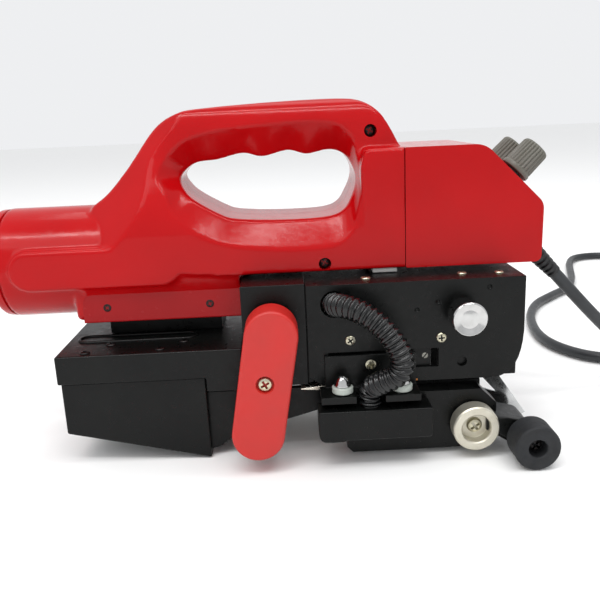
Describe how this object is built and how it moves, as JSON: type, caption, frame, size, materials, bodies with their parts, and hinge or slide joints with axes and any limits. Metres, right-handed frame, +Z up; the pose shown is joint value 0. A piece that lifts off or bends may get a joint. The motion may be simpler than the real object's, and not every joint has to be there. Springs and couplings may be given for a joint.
{
  "type": "hot wedge liner welder",
  "caption": "Hot-wedge welding machine for plastic liner: loop handle over a motor barrel, control box with knobs, steel frame, press lever, heated wedge and mains lead.",
  "frame": {"origin": "on the floor, under the middle of the machine's own box without its mains lead", "axes": "+X along the machine towards the control box, -Y towards the side with the press lever, +Z up"},
  "size_m": [0.5516, 0.4782, 0.1827],
  "materials": {
    "red_abs": "glossy moulded ABS",
    "lever_red": "semi-matt enamel on cast aluminium",
    "black_steel": "satin black powder coat on folded steel",
    "black_plastic": "satin moulded nylon",
    "grey_plastic": "ribbed grey ABS",
    "rubber": "matt rubber",
    "cable_rubber": "satin rubber sheath",
    "conduit_nylon": "ribbed nylon conduit",
    "zinc_screw": "zinc-plated steel",
    "chrome": "polished",
    "steel": "ground steel",
    "aluminium": "turned aluminium",
    "ceramic": "pressed ceramic",
    "copper": "heat-tinted copper",
    "nylon": "white nylon",
    "board": "solder-masked circuit board",
    "switch_red": "glossy rocker"
  },
  "bodies": {
    "frame": {"housing_near_shell": "red_abs", "housing_far_shell": "red_abs", "control_box_cover": "red_abs", "motor_end_cap": "red_abs", "motor_saddle": "red_abs", "motor_can": "steel", "motor_gearhead": "aluminium", "drive_chain": "steel", "upper_frame_cover": "black_steel", "left_side_plate": "black_steel", "frame_back_plate": "black_steel", "frame_end_plate": "black_steel", "spacer_pad": "nylon", "gear_box_cover": "black_steel", "motor_bracket": "black_steel", "lower_box": "black_steel", "near_arm": "black_steel", "far_arm": "black_steel", "arm_bridge": "black_steel", "wheel_carrier": "black_steel", "wheel_screw": "zinc_screw", "near_roller_screw": "zinc_screw", "near_roller_arm": "black_steel", "far_roller_axle": "zinc_screw", "film_guide": "chrome", "conduit": "conduit_nylon", "speed_control": "steel", "temperature_control": "steel", "control_board": "board", "power_switch": "black_plastic", "strain_relief": "black_plastic", "power_cord": "cable_rubber", "cord_coil": "cable_rubber", "cord_tail": "cable_rubber", "cord_plug": "black_plastic"},
    "lever": {"press_lever": "lever_red", "lever_screw": "zinc_screw", "cam_shaft": "steel"},
    "press_roller": {"press_roller": "rubber"},
    "drive_roller": {"drive_roller": "steel", "lower_sprocket": "steel"},
    "upper_sprocket": {"upper_sprocket": "steel"},
    "wedge_carriage": {"wedge_bracket": "black_steel", "ceramic_washer_left": "ceramic", "ceramic_washer_right": "ceramic", "dome_nut_left": "chrome", "dome_nut_right": "chrome", "heater_block": "black_steel", "cartridge_heater": "steel", "heated_wedge": "copper", "carriage_bar": "steel", "bracket_screw": "zinc_screw"},
    "adjuster": {"adjust_knob": "chrome", "adjust_screw": "steel"},
    "guide_wheel": {"guide_wheel": "aluminium"},
    "near_roller": {"near_roller": "rubber"},
    "far_roller": {"far_roller": "rubber"},
    "speed_knob": {"speed_knob": "grey_plastic"},
    "temperature_knob": {"temperature_knob": "grey_plastic"},
    "power_rocker": {"power_rocker": "switch_red"}
  },
  "joints": [
    {"name": "press_lever_turn", "type": "hinge", "parent": "frame", "child": "lever", "pos_m": [-0.00398, -0.045, 0.0486], "axis": [0, 1, 0], "range_deg": [0, 60]},
    {"name": "press_roller_spin", "type": "hinge", "parent": "lever", "child": "press_roller", "pos_m": [-0.00398, 0, 0.0466], "axis": [0, 1, 0], "continuous": true},
    {"name": "drive_roller_spin", "type": "hinge", "parent": "frame", "child": "drive_roller", "pos_m": [-0.00398, 0, 0.0252], "axis": [0, 1, 0], "continuous": true},
    {"name": "upper_sprocket_spin", "type": "hinge", "parent": "frame", "child": "upper_sprocket", "pos_m": [-0.00398, 0.038, 0.106], "axis": [0, 1, 0], "continuous": true},
    {"name": "wedge_slide", "type": "slide", "parent": "frame", "child": "wedge_carriage", "axis": [1, 0, 0], "range_m": [0, 0.01], "deforming": ["conduit"]},
    {"name": "adjuster_turn", "type": "hinge", "parent": "frame", "child": "adjuster", "pos_m": [0.09652, -0.048, 0.076], "axis": [0, 1, 0], "range_deg": [-540, 540]},
    {"name": "guide_wheel_spin", "type": "hinge", "parent": "frame", "child": "guide_wheel", "pos_m": [0.10192, -0.045, 0.0167], "axis": [0, 1, 0], "continuous": true},
    {"name": "near_roller_spin", "type": "hinge", "parent": "frame", "child": "near_roller", "pos_m": [0.12832, -0.057, 0.0115], "axis": [0, 1, 0], "continuous": true},
    {"name": "far_roller_spin", "type": "hinge", "parent": "frame", "child": "far_roller", "pos_m": [0.11352, 0.057, 0.0115], "axis": [0, 1, 0], "continuous": true},
    {"name": "speed_knob_turn", "type": "hinge", "parent": "frame", "child": "speed_knob", "pos_m": [0.13672, -0.002, 0.1464], "axis": [0.7071, 0, 0.7071], "range_deg": [-140, 140]},
    {"name": "temperature_knob_turn", "type": "hinge", "parent": "frame", "child": "temperature_knob", "pos_m": [0.13672, 0.032, 0.1464], "axis": [0.7071, 0, 0.7071], "range_deg": [-140, 140]},
    {"name": "power_rocker_tilt", "type": "hinge", "parent": "frame", "child": "power_rocker", "pos_m": [0.13912, 0.035, 0.1135], "axis": [0, 1, 0], "range_deg": [-14, 0]}
  ],
  "couplings": [
    {"joint": "press_roller_spin", "follows": "drive_roller_spin", "ratio": -1.3333},
    {"joint": "upper_sprocket_spin", "follows": "drive_roller_spin", "ratio": 1}
  ]
}
